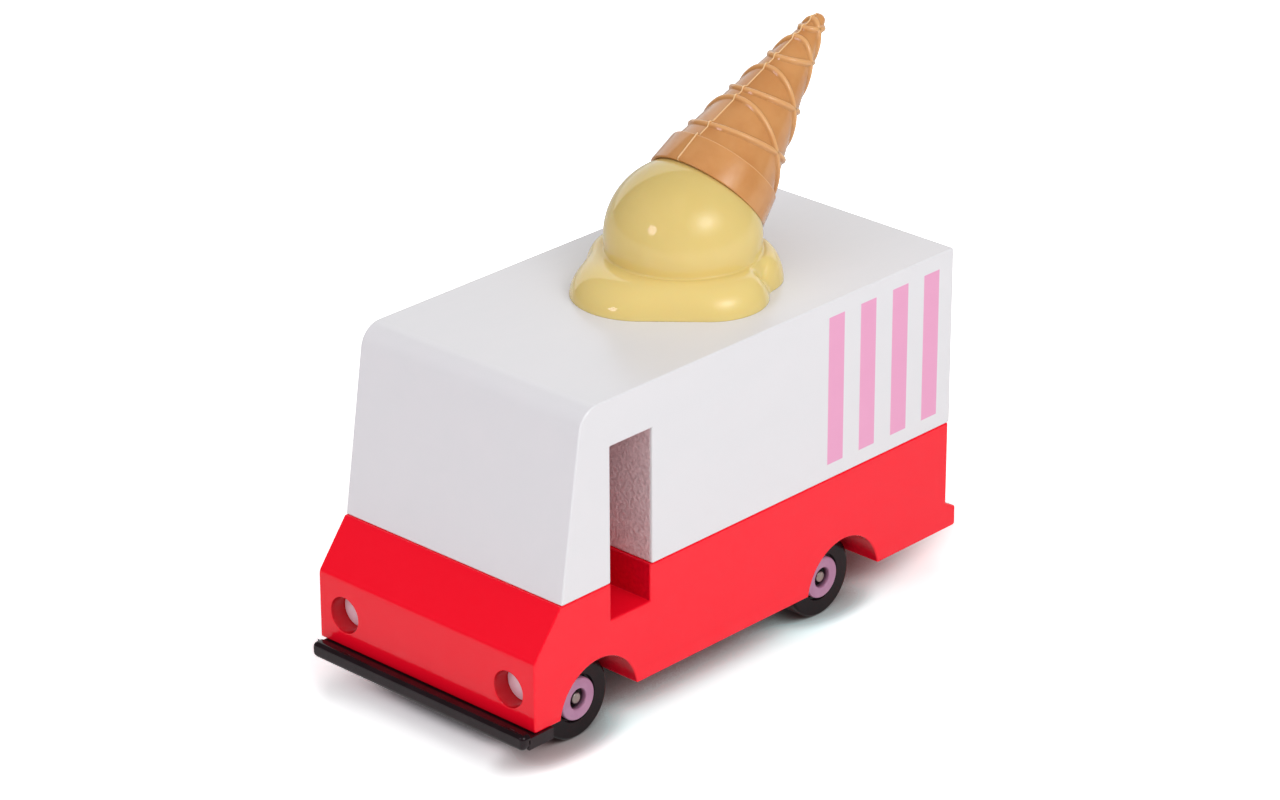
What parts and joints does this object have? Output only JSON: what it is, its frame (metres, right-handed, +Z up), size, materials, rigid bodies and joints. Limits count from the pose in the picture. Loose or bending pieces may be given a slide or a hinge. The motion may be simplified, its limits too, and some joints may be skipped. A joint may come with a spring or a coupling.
{
  "type": "toy ice cream truck",
  "caption": "Small solid wood toy ice cream truck with open cab doorway, free rolling wheels, black bumper chassis, melted scoop and upturned cone on the roof.",
  "frame": {"origin": "on the floor, under the middle of the bounding box", "axes": "+X out of the nose, +Y to the truck's left side, +Z up"},
  "size_m": [0.11, 0.0518, 0.1016],
  "materials": {
    "red_paint": "gloss red paint on solid wood",
    "white_paint": "satin white paint on solid wood, pink stripes near the rear",
    "black_plastic": "gloss near-black moulding",
    "lamp_plastic": "pale pink satin",
    "axle_steel": "cut end, dull",
    "tyre_plastic": "satin near-black",
    "hub_plastic": "mauve satin",
    "scoop_plastic": "gloss custard yellow",
    "cone_plastic": "satin biscuit brown"
  },
  "bodies": {
    "truck": {"lower_body": "red_paint", "upper_body": "white_paint", "chassis": "black_plastic", "headlight_left": "lamp_plastic", "headlight_right": "lamp_plastic", "scoop": "scoop_plastic", "cone": "cone_plastic"},
    "front_wheelset": {"front_axle": "axle_steel", "front_left_tyre": "tyre_plastic", "front_right_tyre": "tyre_plastic", "front_left_hub": "hub_plastic", "front_right_hub": "hub_plastic"},
    "rear_wheelset": {"rear_axle": "axle_steel", "rear_left_tyre": "tyre_plastic", "rear_right_tyre": "tyre_plastic", "rear_left_hub": "hub_plastic", "rear_right_hub": "hub_plastic"}
  },
  "joints": [
    {"name": "front_roll", "type": "hinge", "parent": "truck", "child": "front_wheelset", "pos_m": [0.0364, 0, 0.0074], "axis": [0, 1, 0], "continuous": true},
    {"name": "rear_roll", "type": "hinge", "parent": "truck", "child": "rear_wheelset", "pos_m": [-0.0249, 0, 0.0074], "axis": [0, 1, 0], "continuous": true}
  ]
}
